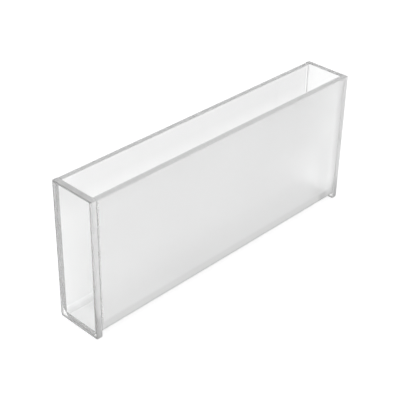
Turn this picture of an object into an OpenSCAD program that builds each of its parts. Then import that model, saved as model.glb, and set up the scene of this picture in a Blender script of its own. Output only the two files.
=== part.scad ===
// Rectangular glass cell with a long light path and an open top.
// Three pieces are bonded together: a trough, whose two long walls and floor are one piece of
// glass, and a clear window across each of its ends. The trough's outer faces are finely
// ground, and its two lower edges are cut away by wide chamfers. The windows are square at the
// bottom and reach a little below the trough, so the cell stands on their lower edges.
// X runs along the light path, Y across it and Z up. The origin is midway between the feet.

/* [Cell] */
// Length of the light path, between the inner faces of the two windows
light_path = 100; // [20:1:150]
// Width of the channel, between the inner faces of the two long walls
channel_w = 12; // [6:0.5:30]
// Height of the cell, from the feet to the rim
cell_h = 44; // [25:0.5:80]
// How far the windows reach below the trough, as feet
foot_h = 0.1; // [0.05:0.05:3]

/* [Glass] */
// Thickness of each end window
window_t = 2; // [1:0.1:4]
// Thickness of the trough's two long walls
wall_t = 1.8; // [1:0.1:3]
// Thickness of the trough's floor
floor_t = 1.55; // [1:0.05:3]
// Glass left between the channel's lower corners and the chamfers outside them
corner_t = 0.65; // [0.4:0.05:1]

/* [Edges] */
// Width of the arris ground along each level outer edge
arris = 0.3; // [0.05:0.05:0.4]
// Width of the arris ground along each upright edge
upright_arris = 0.4; // [0.05:0.05:0.6]
// Radius of the windows' lower corners
foot_corner_r = 0.8; // [0.4:0.1:1.2]

/* [Hidden] */
$fn = 64;

cell_w = channel_w + 2 * wall_t;                    // over the two walls, and the windows' width
trough_h = cell_h - foot_h;                         // from the trough's underside to the rim
chamfer = wall_t + floor_t - sqrt(2) * corner_t;    // legs of the trough's lower chamfers
all_upright = [upright_arris, upright_arris, upright_arris, upright_arris];
clear_glass = [0.86, 0.92, 0.90, 0.35];
ground_glass = [0.88, 0.89, 0.90, 0.70];

// Rectangle from the origin, w along x and h along y. Its corners are cut off at 45 degrees by
// the amounts in cut, which count from the origin, anticlockwise.
module cut_rect(w, h, cut)
    polygon([
        [cut[0], 0], [w - cut[1], 0], [w, cut[1]], [w, h - cut[2]],
        [w - cut[2], h], [cut[3], h], [0, h - cut[3]], [0, cut[0]]
    ]);

// Section of the trough as seen along the light path, standing on its underside.
module trough_section() {
    difference() {
        translate([-cell_w / 2, 0]) cut_rect(cell_w, trough_h, [chamfer, chamfer, arris, arris]);
        translate([-channel_w / 2, floor_t]) square([channel_w, trough_h]);
    }
}

// Outline of a window as seen along the light path: square at the rim, round at the feet.
module window_outline() {
    y0 = foot_corner_r - cell_w / 2;
    union() {
        translate([-cell_w / 2, foot_corner_r]) square([cell_w, cell_h - foot_corner_r]);
        translate([y0, 0]) square([-2 * y0, foot_corner_r]);
        for (y = [y0, -y0]) translate([y, foot_corner_r]) circle(r = foot_corner_r);
    }
}

// One window. Its inner face is the plane x = 0 and its outer face is x = window_t. All its
// edges but the inner one at the rim have an arris, so a groove shows beside the trough.
module end_window() {
    intersection() {
        rotate([90, 0, 90]) linear_extrude(window_t) window_outline();
        translate([0, cell_w / 2, 0]) rotate([90, 0, 0])
            linear_extrude(cell_w) cut_rect(window_t, cell_h, [arris, arris, arris, 0]);
        translate([0, -cell_w / 2, 0])
            linear_extrude(cell_h) cut_rect(window_t, cell_w, all_upright);
    }
}

module trough()
    color(ground_glass) translate([-light_path / 2, 0, foot_h]) intersection() {
        rotate([90, 0, 90]) linear_extrude(light_path) trough_section();
        translate([0, -cell_w / 2, 0])
            linear_extrude(trough_h) cut_rect(light_path, cell_w, all_upright);
    }

module right_window()
    color(clear_glass) translate([light_path / 2, 0, 0]) end_window();

module left_window()
    color(clear_glass) mirror([1, 0, 0]) translate([light_path / 2, 0, 0]) end_window();

trough();
left_window();
right_window();
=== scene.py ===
# Glass cell with a long light path: a trough and two end windows, in polished and ground glass.
import math

import bmesh
import bpy
import numpy as np
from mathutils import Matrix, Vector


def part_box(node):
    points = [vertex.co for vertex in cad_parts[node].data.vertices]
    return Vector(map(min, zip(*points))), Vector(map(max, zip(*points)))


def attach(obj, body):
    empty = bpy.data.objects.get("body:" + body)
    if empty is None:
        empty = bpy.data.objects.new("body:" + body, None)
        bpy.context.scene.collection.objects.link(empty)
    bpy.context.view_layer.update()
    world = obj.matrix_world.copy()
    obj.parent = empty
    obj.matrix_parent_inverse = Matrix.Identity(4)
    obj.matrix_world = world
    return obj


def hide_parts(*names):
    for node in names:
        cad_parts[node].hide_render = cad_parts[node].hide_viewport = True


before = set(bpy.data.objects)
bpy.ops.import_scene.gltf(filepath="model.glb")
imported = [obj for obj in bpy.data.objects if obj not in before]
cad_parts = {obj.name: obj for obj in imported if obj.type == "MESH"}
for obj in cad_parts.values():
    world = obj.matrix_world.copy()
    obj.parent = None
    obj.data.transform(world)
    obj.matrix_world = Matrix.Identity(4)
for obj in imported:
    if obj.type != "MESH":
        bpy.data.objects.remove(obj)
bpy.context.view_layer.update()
scene = bpy.context.scene
mm = 0.001


class Wire:
    # A value in a node tree: arithmetic on it adds Math nodes.
    def __init__(self, sheet, socket):
        self.sheet, self.socket = sheet, socket

    def maths(self, operation, first, second=0.0):
        return self.sheet.node("ShaderNodeMath", {"operation": operation}, {0: first, 1: second})

    def __add__(self, other):
        return self.maths("ADD", self, other)

    def __radd__(self, other):
        return self.maths("ADD", other, self)

    def __sub__(self, other):
        return self.maths("SUBTRACT", self, other)

    def __rsub__(self, other):
        return self.maths("SUBTRACT", other, self)

    def __mul__(self, other):
        return self.maths("MULTIPLY", self, other)

    def __rmul__(self, other):
        return self.maths("MULTIPLY", other, self)

    def __gt__(self, other):
        return self.maths("GREATER_THAN", self, other)

    def __lt__(self, other):
        return self.maths("LESS_THAN", self, other)

    def __abs__(self):
        return self.maths("ABSOLUTE", self)


def grey(value):
    return (value, value, value, 1)


def setStops(ramp, stops):
    while len(ramp.elements) < len(stops):
        ramp.elements.new(1.0)
    for element, (position, value) in zip(ramp.elements, stops):
        element.position = position
        element.color = grey(value)


class Sheet:
    # A material's or world's node tree, with one method that adds any node to it.
    def __init__(self, owner, outputKind):
        owner.use_nodes = True
        self.tree = owner.node_tree
        self.tree.nodes.clear()
        self.last = self.tree.nodes.new(outputKind)

    def node(self, kind, settings=None, sockets=None, out=0):
        made = self.tree.nodes.new(kind)
        for name, value in (settings or {}).items():
            if name == "stops":
                setStops(made.color_ramp, value)
            else:
                setattr(made, name, value)
        for key, value in (sockets or {}).items():
            if isinstance(value, Wire):
                self.tree.links.new(value.socket, made.inputs[key])
            else:
                made.inputs[key].default_value = value
        return Wire(self, made.outputs[out])

    def finish(self, surface):
        self.tree.links.new(surface.socket, self.last.inputs["Surface"])

    # Place on the piece in millimetres, as a vector and as its three parts.
    def place(self):
        here = self.scaled(self.node("ShaderNodeTexCoord", out="Object"), 1 / mm)
        parts = [self.node("ShaderNodeSeparateXYZ", sockets={0: here}, out=axis) for axis in "XYZ"]
        return here, parts

    # Cloudy noise from 0 to 1. Its grains are about size mm wide, times the stretch of each axis.
    def grain(self, here, size, stretch, detail):
        scale = [1 / (size * share) for share in stretch]
        drawn = self.node("ShaderNodeMapping", sockets={"Vector": here, "Scale": scale})
        noise = {"Vector": drawn, "Scale": 1.0, "Detail": detail}
        return self.node("ShaderNodeTexNoise", sockets=noise, out="Fac")

    # The Mix node's sockets 6 and 7 and its output 2 are the ones for colours.
    def blend(self, share, first, second):
        sockets = {"Factor": share, 6: first, 7: second}
        return self.node("ShaderNodeMix", {"data_type": "RGBA"}, sockets, out=2)

    # A value read off the line through the given (place, value) stops, level beyond its ends.
    def shade(self, place, stops):
        first, last = stops[0][0], stops[-1][0]
        share = (place - first) * (1 / (last - first))
        stops = [((at - first) / (last - first), value) for at, value in stops]
        return self.node("ShaderNodeValToRGB", {"stops": stops}, {0: share})

    # A colour or a place, times a number.
    def scaled(self, vector, share):
        vector = vector if isinstance(vector, Wire) else vector[:3]
        sockets = {0: vector, "Scale": share}
        return self.node("ShaderNodeVectorMath", {"operation": "SCALE"}, sockets)

    def mixed(self, share, first, second):
        return self.node("ShaderNodeMixShader", sockets={0: share, 1: first, 2: second})


def newMaterial(name, build, finish):
    material = bpy.data.materials.new(name)
    sheet = Sheet(material, "ShaderNodeOutputMaterial")
    sheet.finish(build(sheet, finish))
    return material


# The polished faces, and the index of all the glass. Each of a finish's shades darkens it by a
# depth, times what the stops of each of its axes say. Stops are (mm along the axis, strength).
glass = {
    "index": 1.5,
    "tint": (0.995, 0.997, 0.996, 1),      # next to no colour
    "smearSize": 9.0,                      # mm, faint wiping marks
    "smearStretch": (1, 1, 3),
    "smearDetail": 4.0,
    "smearStart": 0.45,                    # the noise above this is a mark
    "smearRoughness": 0.03,                # and this is how fast it grows rough
    "shades": [],
}

# The windows are tinted greyer than the channel, and painted shade darkens them above the floor and
# more toward the top. They are darkest low down along their front edge.
windowGlass = dict(glass, tint=(0.935, 0.939, 0.938, 1), shades=[
    (0.065, [(2, [(3.5, 0.0), (5.0, 1.0)]), (1, [(0.5, 0.0), (2.0, 1.0)])]),
    (0.065, [(2, [(8.0, 0.0), (9.5, 1.0)]), (1, [(0.5, 1.0), (2.0, 0.0)])]),
    (0.05, [(2, [(6.0, 0.0), (26.0, 1.0)])]),
    (0.40, [(2, [(3.0, 1.0), (13.0, 0.8), (20.0, 0.2), (28.0, 0.0)]),
            (1, [(-7.1, 1.0), (-6.8, 0.0)])]),
])

# The channel's faces have a strip of painted shade beside the right window.
channelGlass = dict(glass, shades=[
    (0.18, [(0, [(47.9, 0.0), (48.5, 0.9), (48.9, 1.0), (49.5, 0.7), (50.0, 0.6)])]),
])

# What all the ground finishes share. Each of them has its own roughness, base colours from pale
# to dark, and in clear the share of light that goes through. Grain and cloud sizes are in mm.
grinding = {
    "cloudShare": 0.7,                     # of the noise, and the rest is the grit's
    "cloudStretch": (2, 1, 1),
    "cloudDetail": 3.0,
    "gritStretch": (1, 1, 1),
    "gritDetail": 1.0,
    "gritHeight": 0.02 * mm,
    "noiseMiddle": 0.5,
}
groundFace = {
    "roughness": 0.42,
    "roughnessSpread": 0.10,
    "pale": grey(0.99),
    "dark": grey(0.96),
    "clear": 1.0,
    "grainSize": 0.16,
    "cloudSize": 7.0,
    "bump": 0.10,
    # A faint band of painted shade just above the chamfer.
    "shades": [(0.08, [(2, [(2.6, 0.0), (3.1, 1.0), (3.6, 1.0), (4.3, 0.0)])])],
}

# Painted shade makes the back wall a little darker toward its rim and away from its left end.
backFace = dict(groundFace, shades=groundFace["shades"] + [
    (0.10, [(0, [(-49.0, 0.0), (-43.0, 1.0)])]),
    (0.20, [(2, [(31.0, 0.0), (38.0, 1.0)])]),
])

# Painted shade makes the front wall darker in a band above its chamfer, toward its rim, over its
# right half and toward its lower right corner, where it also has two darker spots.
lowerShadeBand = [(2.50, 0.90), (2.75, 1.00), (3.00, 0.85), (3.30, 0.60), (4.80, 0.60), (5.80, 0.0)]
frontFace = dict(groundFace, shades=[
    (0.36, [(2, lowerShadeBand), (0, [(-50.0, 1.0), (-20.0, 0.92), (10.0, 0.80), (50.0, 0.72)])]),
    (0.13, [(2, [(16.0, 0.0), (28.0, 0.5), (44.0, 1.0)])]),
    (0.10, [(2, [(8.0, 0.0), (28.0, 1.0)]),
            (0, [(0.0, 0.0), (28.0, 1.0), (38.0, 0.9), (46.5, 0.0)])]),
    (0.21, [(2, [(4.8, 0.0), (6.5, 1.0), (12.0, 0.85), (20.0, 0.6), (28.0, 0.0)]),
            (0, [(37.0, 0.0), (42.0, 0.80), (45.0, 0.85), (48.0, 0.1)])]),
    (0.38, [(2, [(2.5, 0.5), (3.4, 1.0), (4.6, 0.9), (5.6, 0.0)]),
            (0, [(41.5, 0.0), (43.2, 1.0), (45.2, 1.0), (47.0, 0.0)])]),
    (0.22, [(2, [(3.0, 0.0), (4.0, 0.9), (6.2, 1.0), (10.0, 0.0)]),
            (0, [(45.5, 0.0), (47.0, 0.9), (48.6, 1.0), (49.3, 0.0)])]),
])

# Painted shade darkens the chamfers toward their lower edge, by the table.
chamferFace = dict(groundFace, pale=grey(0.98), dark=grey(0.96), cloudSize=5.0, shades=[
    (0.42, [(2, [(0.1, 1.0), (0.8, 0.72), (1.35, 0.64), (1.6, 0.52), (1.85, 0.22),
                 (2.05, 0.0)])]),
])

groundEdge = {
    "roughness": 0.40,
    "roughnessSpread": 0.12,
    "pale": grey(0.97),
    "dark": grey(0.94),
    "clear": 0.80,
    "grainSize": 0.14,
    "cloudSize": 2.5,
    "bump": 0.25,
    "shades": [],
}
# The rims are copies of the edge finish with painted shade: the back rim darker, the front rim more
# diffuse.
backRim = dict(groundEdge, dark=grey(0.88), clear=0.72)
frontRim = dict(groundEdge, pale=grey(0.98), dark=grey(0.92), clear=0.52)
# The windows' feet are painted dark, as painted shadow where they stand on the table.
shadedFootEdge = dict(groundEdge, pale=grey(0.70), dark=grey(0.58), clear=1.0)

# The ground arrises are painted dark, as painted shade for the dark lines they show; the front
# wall's rim arris is a paler copy.
arrisFinish = {
    "roughness": 0.48,
    "roughnessSpread": 0.10,
    "pale": grey(0.58),
    "dark": grey(0.44),
    "clear": 1.0,
    "grainSize": 0.10,
    "cloudSize": 1.2,
    "bump": 0.12,
    "shades": [],
}
frontArris = dict(arrisFinish, pale=grey(0.98), dark=grey(0.90), clear=0.52)
endArris = dict(groundFace, roughness=0.28, bump=0.05, shades=[])

# Painted shade darkens the groove at the left window's front edge alone.
grooveArris = dict(arrisFinish, pale=grey(0.99), dark=grey(0.96), clear=0.50, shades=[
    (0.75, [(0, [(-1.0, 1.0), (1.0, 0.0)]), (1, [(-1.0, 1.0), (1.0, 0.0)])]),
])

# The left window's upright arrises are darker along their outer line, more so toward the feet, and
# painted shade darkens the right window's all the way up.
uprightArris = dict(
    arrisFinish, roughness=0.34, pale=grey(0.99), dark=grey(0.97), clear=0.90, shades=[
        (0.42, [(2, [(4.0, 1.0), (12.0, 0.88), (19.0, 0.34), (26.0, 0.12), (33.0, 0.05),
                     (44.0, 0.0)]),
                (0, [(-51.95, 1.0), (-51.80, 0.10)])]),
        (0.30, [(0, [(-1.0, 0.0), (1.0, 1.0)])]),
    ])

underside = {
    "roughness": 0.50,
    "roughnessSpread": 0.06,
    "pale": grey(0.99),
    "dark": grey(0.97),
    "clear": 1.0,
    "grainSize": 0.3,
    "cloudSize": 6.0,
    "bump": 0.05,
    "shades": [],
}


def shaded(sheet, colour, parts, finish):
    for depth, limits in finish["shades"]:
        for axis, stops in limits:
            depth = depth * sheet.shade(parts[axis], stops)
        colour = sheet.scaled(colour, 1 - depth)
    return colour


def polishedGlass(sheet, finish):
    here, parts = sheet.place()
    smear = sheet.grain(here, finish["smearSize"], finish["smearStretch"], finish["smearDetail"])
    wiped = (smear - finish["smearStart"]) * finish["smearRoughness"]
    rough = sheet.node("ShaderNodeMath", {"operation": "MAXIMUM"}, {0: wiped, 1: 0.0})
    return sheet.node("ShaderNodeBsdfPrincipled", sockets={
        "Base Color": shaded(sheet, finish["tint"], parts, finish),
        "Transmission Weight": 1.0, "IOR": finish["index"], "Roughness": rough})


def groundGlass(sheet, finish):
    here, parts = sheet.place()
    grit = sheet.grain(
        here, finish["grainSize"], grinding["gritStretch"], grinding["gritDetail"])
    cloud = sheet.grain(
        here, finish["cloudSize"], grinding["cloudStretch"], grinding["cloudDetail"])
    share = cloud * grinding["cloudShare"] + grit * (1 - grinding["cloudShare"])
    spread = (share - grinding["noiseMiddle"]) * finish["roughnessSpread"]
    height = {"Strength": finish["bump"], "Distance": grinding["gritHeight"], "Height": grit}
    colour = sheet.blend(share, finish["pale"], finish["dark"])
    return sheet.node("ShaderNodeBsdfPrincipled", sockets={
        "Base Color": shaded(sheet, colour, parts, finish),
        "Transmission Weight": finish["clear"], "IOR": glass["index"],
        "Roughness": spread + finish["roughness"],
        "Normal": sheet.node("ShaderNodeBump", sockets=height, out="Normal")})


# The faces between trough and windows are bonded where the trough's section and a window's flat
# meet, and polished elsewhere. In mm: within the flat, beside the channel or below its floor,
# and inside the chamfers, which run at 45 degrees. Bonded faces let light straight through,
# because the cement's index is the glass's own.
def meetingFace(sheet, finish):
    _, (_, aside, height) = sheet.place()
    aside = abs(aside)
    inside = (aside < finish["outside"]) * (height < finish["top"]) * (height > finish["bottom"])
    glassy = (aside > finish["channel"]) + (height < finish["floor"])
    glassy = sheet.node("ShaderNodeClamp", sockets={0: glassy})
    kept = height - aside > finish["chamferLine"]
    clear = polishedGlass(sheet, finish["glass"])
    bonded = sheet.node("ShaderNodeBsdfTransparent", sockets={"Color": grey(1.0)})
    return sheet.mixed(inside * glassy * kept, clear, bonded)


# How the glass of trough and windows is cut.
plateWork = {
    "arris": 0.30 * mm,
    "footCorner": 0.80 * mm,               # radius of the windows' lower corners
    "corner": 0.10 * mm,                   # radius of a window's upper corners
    "smallestCorner": 0.02 * mm,           # radius of its flat faces' upper corners
    "seam": 0.05 * mm,                     # an edge left sharp is broken just enough to show
    "upright": 0.40 * mm,                  # the arris along each upright edge
    "gap": 0.003 * mm,                     # between bonded faces
    "cornerSteps": 8,
    "sideSteps": 40,
    "arrisSteps": 4,
    "lengthSteps": 160,
    "softness": 1.35,                      # 1 gives a flat arris, 2 a round one
    "ripple": 0.02,                        # how much a hand-ground arris varies in width
    "rippleShares": [0.5, 0.3, 0.2],       # of its three waves
    "windowWaves": [5, 13, 29],            # how many of each go round a window
    "troughWaves": [3, 8, 19],             # and along the trough
}
arris, upright, seam, gap = [plateWork[k] for k in ("arris", "upright", "seam", "gap")]
arrisSteps = plateWork["arrisSteps"]


# A piece from its points, faces and each face's finish, with its faces turned outward.
def makePiece(name, points, faces, kinds, finishes):
    mesh = bpy.data.meshes.new(name)
    mesh.from_pydata(points.reshape(-1, 3).tolist(), [], faces)
    mesh.polygons.foreach_set("material_index", np.asarray(kinds, np.int32))
    for material in finishes:
        mesh.materials.append(material)
    shell = bmesh.new()
    shell.from_mesh(mesh)
    bmesh.ops.recalc_face_normals(shell, faces=shell.faces)
    shell.to_mesh(mesh)
    shell.free()
    piece = bpy.data.objects.new(name, mesh)
    scene.collection.objects.link(piece)
    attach(piece, "root")
    return piece


# Quads between the rows of a grid of points whose columns close on themselves.
def gridFaces(rows, columns):
    at = np.arange(rows * columns).reshape(rows, columns)
    after = np.roll(at, -1, 1)
    return at, np.stack([at[:-1], after[:-1], after[1:], at[1:]], -1).reshape(-1, 4).tolist()


# Outline of a plate, anticlockwise. Corner k's arc has its centre one radius in from the corner
# and runs from k * 90 degrees over a quarter turn. The sides between arcs have equal steps.
def outline(lo, hi, radii):
    signs = np.array([[1, 1], [-1, 1], [-1, -1], [1, -1]])
    radii = np.asarray(radii)[:, None]
    centres = np.where(signs > 0, hi, lo) - signs * radii
    angle = (np.arange(4)[:, None] + np.linspace(0, 1, plateWork["cornerSteps"] + 1)) * math.pi / 2
    arcs = centres[:, None] + radii[..., None] * np.stack([np.cos(angle), np.sin(angle)], -1)
    share = (np.arange(1, plateWork["sideSteps"]) / plateWork["sideSteps"])[:, None]
    starts, ends = arcs[:, -1, None], np.roll(arcs, -1, 0)[:, 0, None]
    return np.concatenate([arcs, starts + (ends - starts) * share], 1).reshape(-1, 2)


# One value for each point of an outline, from the values of its top, left, lower and right side.
# Across a corner's arc the value runs evenly from one side's to the next one's.
def roundTheOutline(sideValues):
    after = np.asarray(sideValues, float)[:, None]
    before = np.roll(after, 1, 0)
    arcs = before + (after - before) * np.linspace(0, 1, plateWork["cornerSteps"] + 1)
    return np.concatenate([arcs, np.repeat(after, plateWork["sideSteps"] - 1, 1)], 1).reshape(-1)


# How far each step across an arris lies from the arris' two sides, as shares of its width:
# 1 - sin(t)^q and 1 - cos(t)^q, where q is 2 / softness and t goes over a quarter turn.
def arrisCurve():
    turn = np.linspace(0, math.pi / 2, arrisSteps + 1)
    power = 2 / plateWork["softness"]
    return 1 - np.sin(turn) ** power, 1 - np.cos(turn) ** power


# How an arris' width ripples along way, an angle: the sum of a few sines with counts waves each.
def slowRipple(way, counts, seed):
    phase = np.random.default_rng(seed).uniform(0, 2 * math.pi, len(counts))
    waves = np.sin(way[:, None] * counts + phase) @ plateWork["rippleShares"]
    return waves * plateWork["ripple"]


# Rows of points across a window's arris, from the flat face out to the plate's edge, and how
# deep each point lies below that face.
def arrisRows(lo, hi, radii, sides, seed):
    top, left, lower, right = sides
    edge = outline(lo, hi, radii)
    smaller = np.maximum(np.asarray(radii) - max(sides), plateWork["smallestCorner"])
    flat = outline(lo + [left, lower], hi - [right, top], smaller)
    way = np.linspace(0, 2 * math.pi, len(edge), endpoint=False)
    ripple = 1 + slowRipple(way, plateWork["windowWaves"], seed)
    inset, depth = [curve[:, None] * ripple for curve in arrisCurve()]
    return edge + (flat - edge) * inset[..., None], depth * roundTheOutline(sides)


# A window is a closed grid: way round its outline by way through its thickness. face says which
# end of X its outer face is on. outerSides and innerSides are the arrises' widths, and
# sideFinish names the sides' own finishes, all in the order top, left, lower, right.
def makeWindow(name, node, face, outerSides, innerSides, finishes, sideFinish, seed):
    lo, hi = map(np.array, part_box(node))
    corner, foot = plateWork["corner"], plateWork["footCorner"]
    radii = [corner, corner, foot, foot]
    outer, outerDepth = arrisRows(lo[1:], hi[1:], radii, outerSides, seed)
    inner, innerDepth = arrisRows(lo[1:], hi[1:], radii, innerSides, seed + 1)
    start, end = (lo, hi)[face > 0][0], (hi, lo)[face > 0][0]
    flat = np.concatenate([outer, inner[::-1]])
    through = np.concatenate([start - face * outerDepth, end + face * innerDepth[::-1]])
    points = np.concatenate([through[..., None], flat], -1)

    at, faces = gridFaces(*points.shape[:2])
    # Which side each column is on. The arc from the last side to the first counts as the first's.
    side = np.round(roundTheOutline([0, 1, 2, 3])).astype(int)
    side[:plateWork["cornerSteps"] + 1] = 0
    slots = {slot: n for n, slot in enumerate(finishes)}
    kinds = np.zeros((len(at) - 1, len(side)), int)
    for span, widths, aside in ((slice(0, arrisSteps), outerSides, "upright"),
                                (slice(arrisSteps + 1, None), innerSides, "groove")):
        broken = np.array([slots[s] for s in ("arris", aside, "arris", aside)])[side]
        kinds[span] = np.where(np.asarray(widths)[side] < arris / 2, slots["seam"], broken)
    kinds[arrisSteps] = np.array([slots[s] for s in sideFinish])[side]
    kinds = np.concatenate([kinds.reshape(-1), [slots["outer"], slots["inner"]]])
    faces += [at[0].tolist(), at[-1].tolist()]
    piece = makePiece(name, points, faces, kinds, finishes.values())
    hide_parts(node)


section = {
    "channel": 6.0 * mm,                   # from the middle to a wall's inner face
    "floor": 1.65 * mm,                    # height of the channel's floor
    "chamfer": 2.431 * mm,                 # leg of the lower chamfers
}


# Half of the trough's section, from the middle of its underside out and up to the rim and down
# again to the middle of its floor. Each corner is (from the middle, height, cut, finish of the
# side that starts there), and a cut is the distance taken off both sides at that corner.
def sectionCorners(outside, bottom, top):
    chamfer, channel, floor = section["chamfer"], section["channel"], section["floor"]
    return [
        (0, bottom, 0, "underside"),
        (outside - chamfer, bottom, seam, "chamfer"),
        (outside, bottom + chamfer, seam, "face"),
        (outside, top, arris, "rim"),
        (channel, top, seam, "polished"),
        (channel, floor, 0, "floor"),
        (0, floor, 0, "floor"),
    ]


# The section's points, the finish of the side after each, and how far each moves in a full
# ripple. A cut corner becomes a short row of points on the arris' curve. Only the arrises ripple,
# and not the seams, which are narrower.
def sectionPoints(corners):
    flat, kinds, rippled = [], [], []
    for n, (aside, height, cut, kind) in enumerate(corners):
        here = np.array([aside, height], float)
        if not cut:
            flat.append(here)
            kinds.append(kind)
            rippled.append(np.zeros(2))
            continue
        back = np.array(corners[n - 1][:2]) - here
        on = np.array(corners[n + 1][:2]) - here
        back, on = back / np.linalg.norm(back) * cut, on / np.linalg.norm(on) * cut
        isArris = cut > arris / 2
        for before, after in zip(*arrisCurve()):
            move = back * before + on * after
            flat.append(here + move)
            rippled.append(move * isArris)
        kinds += ["arris" if isArris else "seam"] * arrisSteps + [kind]
    return np.array(flat), kinds, np.array(rippled)


# The trough is its section, mirrored into a closed outline, at stations along X. The rim's
# arrises ripple along the trough. Toward each end the section grows narrower along the arris'
# curve, which makes the upright arrises.
def makeTrough(finishes, seed):
    lo, hi = map(np.array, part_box("trough"))
    half, kinds, rippled = sectionPoints(sectionCorners(hi[1], lo[2], hi[2]))
    mirror = [-1, 1]
    flat = np.concatenate([half, (half * mirror)[-2:0:-1]])
    rippled = np.concatenate([rippled, (rippled * mirror)[-2:0:-1]])
    # The front side takes its own copies of the wall, rim and arris finishes, which carry other
    # painted shade.
    front = {"face": "frontFace", "rim": "frontRim", "arris": "frontArris"}
    kinds = kinds[:-1] + [front.get(k, k) for k in kinds[-2::-1]]
    inset, depth = [curve * upright for curve in arrisCurve()]
    length = hi[0] - lo[0] - 2 * gap
    middle = np.linspace(upright, length - upright, plateWork["lengthSteps"] + 1)[1:-1]
    away = np.concatenate([depth, middle, length - depth[::-1]])
    narrowed = np.concatenate([inset, np.zeros(len(middle)), inset[::-1]])
    wave = slowRipple(2 * math.pi * away / length, plateWork["troughWaves"], seed)
    points = np.zeros((len(away), len(flat), 3))
    points[..., 0] = (lo[0] + gap + away)[:, None]
    points[..., 1:] = flat + wave[:, None, None] * rippled
    widest = (hi[1] - narrowed)[:, None]
    points[..., 1] = np.clip(points[..., 1], -widest, widest)

    at, faces = gridFaces(*points.shape[:2])
    slots = {slot: n for n, slot in enumerate(finishes)}
    kinds = np.tile([slots[k] for k in kinds], (len(away) - 1, 1))
    walls = np.isin(kinds[0], [slots["face"], slots["frontFace"]])
    for end in (slice(None, arrisSteps), slice(-arrisSteps, None)):
        kinds[end, walls] = slots["endArris"]
    kinds = kinds.reshape(-1).tolist()
    faces += [at[0].tolist(), at[-1].tolist()]
    piece = makePiece("troughBody", points, faces, kinds + [slots["end"]] * 2, finishes.values())
    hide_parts("trough")


# Where the pieces are bonded, in mm.
troughLo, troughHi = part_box("trough")
meeting = {
    "outside": (troughHi[1] - upright) / mm,
    "top": (troughHi[2] - seam) / mm,
    "bottom": arris / mm,
    "channel": section["channel"] / mm,
    "floor": section["floor"] / mm,
    "chamferLine": (troughLo[2] + section["chamfer"] - troughHi[1]) / mm,
}
polished = newMaterial("polishedGlass", polishedGlass, channelGlass)
arrisGround = newMaterial("groundArris", groundGlass, arrisFinish)
windowFinishes = {
    "outer": newMaterial("windowGlass", polishedGlass, windowGlass),
    "arris": arrisGround,
    "edge": newMaterial("groundEdge", groundGlass, groundEdge),
    "seam": arrisGround,
    "upright": newMaterial("uprightArris", groundGlass, uprightArris),
    "groove": newMaterial("grooveArris", groundGlass, grooveArris),
    "foot": newMaterial("groundFootShadow", groundGlass, shadedFootEdge),
    "inner": newMaterial("windowMeeting", meetingFace, dict(meeting, glass=windowGlass)),
}
makeTrough({
    "underside": newMaterial("underside", groundGlass, underside),
    "chamfer": newMaterial("chamferFace", groundGlass, chamferFace),
    "face": newMaterial("backFace", groundGlass, backFace),
    "frontFace": newMaterial("frontFace", groundGlass, frontFace),
    "endArris": newMaterial("endArris", groundGlass, endArris),
    "rim": newMaterial("backRim", groundGlass, backRim),
    "frontRim": newMaterial("frontRim", groundGlass, frontRim),
    "arris": arrisGround,
    "frontArris": newMaterial("frontArris", groundGlass, frontArris),
    "seam": polished,
    "polished": polished,
    "floor": polished,
    "end": newMaterial("troughMeeting", meetingFace, dict(meeting, glass=glass)),
}, seed=31)
for name, node, face, seed in (("leftWindowPlate", "left_window", -1, 11),
                               ("rightWindowPlate", "right_window", 1, 21)):
    makeWindow(name, node, face, [arris, upright] * 2, [seam, upright, arris, upright],
               windowFinishes, ["edge", "edge", "foot", "edge"], seed)


studio = {
    "horizon": 1.0,                        # brightness of the world all round
    "zenith": 0.55,                        # and overhead
    "horizonEnds": 0.15,                   # heights, as the sine of the angle above the horizon
    "zenithStarts": 0.90,
    "tableHalf": 3.0,                      # m
    "tableDrop": 0.02 * mm,                # keeps the table clear of the glass that stands on it
    "tableColour": grey(0.66),
    "tableGlow": 0.72,                     # what the eye sees on top of the lit colour
    "glassGlow": 0.11,                     # and what the glass sees on top of that
    "tableIndex": 1.5,
    "tableGloss": 0.04,                    # roughness
}


def lightWorld():
    world = bpy.data.worlds.new("softRoom")
    scene.world = world
    sheet = Sheet(world, "ShaderNodeOutputWorld")
    way = sheet.node("ShaderNodeTexCoord", out="Generated")
    height = sheet.node("ShaderNodeSeparateXYZ", sockets={0: way}, out="Z")
    stops = [(studio["horizonEnds"], studio["horizon"]), (studio["zenithStarts"], studio["zenith"])]
    light = sheet.node("ShaderNodeValToRGB", {"stops": stops}, {0: height})
    sheet.finish(sheet.node("ShaderNodeBackground", sockets={"Color": light}))


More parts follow.
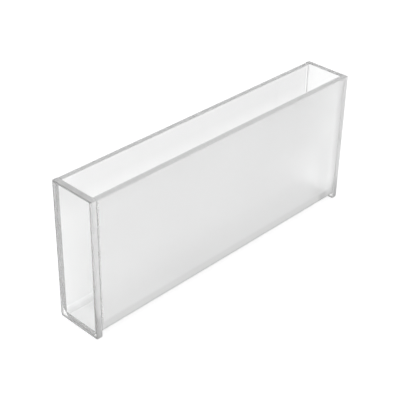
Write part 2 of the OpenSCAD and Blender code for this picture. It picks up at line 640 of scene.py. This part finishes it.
# The table lights the glass as a plain diffuse face. It glows only for rays that see it straight
# or by way of glass, and it has a sheen only through the glass.
def tableTop(sheet, finish):
    path = {kind: sheet.node("ShaderNodeLightPath", out=kind)
            for kind in ("Is Camera Ray", "Is Glossy Ray", "Is Transmission Ray")}
    seen = sheet.node("ShaderNodeClamp", sockets={0: sum(path.values())})
    lit = sheet.node("ShaderNodeBsdfDiffuse", sockets={"Color": finish["tableColour"]})
    strength = finish["tableGlow"] + finish["glassGlow"] * (1 - path["Is Camera Ray"])
    glow = sheet.node("ShaderNodeEmission", sockets={"Color": grey(1.0), "Strength": strength})
    sheen = sheet.node("ShaderNodeBsdfGlossy", sockets={"Roughness": finish["tableGloss"]})
    both = sheet.node("ShaderNodeAddShader", sockets={0: lit, 1: glow})
    fresnel = sheet.node("ShaderNodeFresnel", sockets={"IOR": finish["tableIndex"]})
    share = fresnel * path["Is Transmission Ray"]
    return sheet.mixed(seen, lit, sheet.mixed(share, both, sheen))


def makeTable():
    mesh = bpy.data.meshes.new("table")
    half = studio["tableHalf"]
    corners = [(-half, -half), (half, -half), (half, half), (-half, half)]
    mesh.from_pydata([corner + (-studio["tableDrop"],) for corner in corners], [], [(0, 1, 2, 3)])
    mesh.materials.append(newMaterial("tableTop", tableTop, studio))
    table = bpy.data.objects.new("table", mesh)
    scene.collection.objects.link(table)


lightWorld()
makeTable()
print("light and table made")

viewpoint = {
    "place": (-0.188724, -0.175721, 0.182186),
    "turns": (57.5481, -0.8754, -45.7163),   # degrees about X, Y and Z
    "lens": 93.238,
    "sensor": 36,
}
camera = bpy.data.cameras.new("camera")
camera.lens = viewpoint["lens"]
camera.sensor_width = viewpoint["sensor"]
cameraObject = bpy.data.objects.new("camera", camera)
cameraObject.location = viewpoint["place"]
cameraObject.rotation_euler = [math.radians(v) for v in viewpoint["turns"]]
scene.collection.objects.link(cameraObject)
scene.camera = cameraObject

scene.view_settings.view_transform = "Standard"
scene.cycles.max_bounces = 32
scene.cycles.transmission_bounces = 32
scene.cycles.glossy_bounces = 16
scene.cycles.transparent_max_bounces = 32
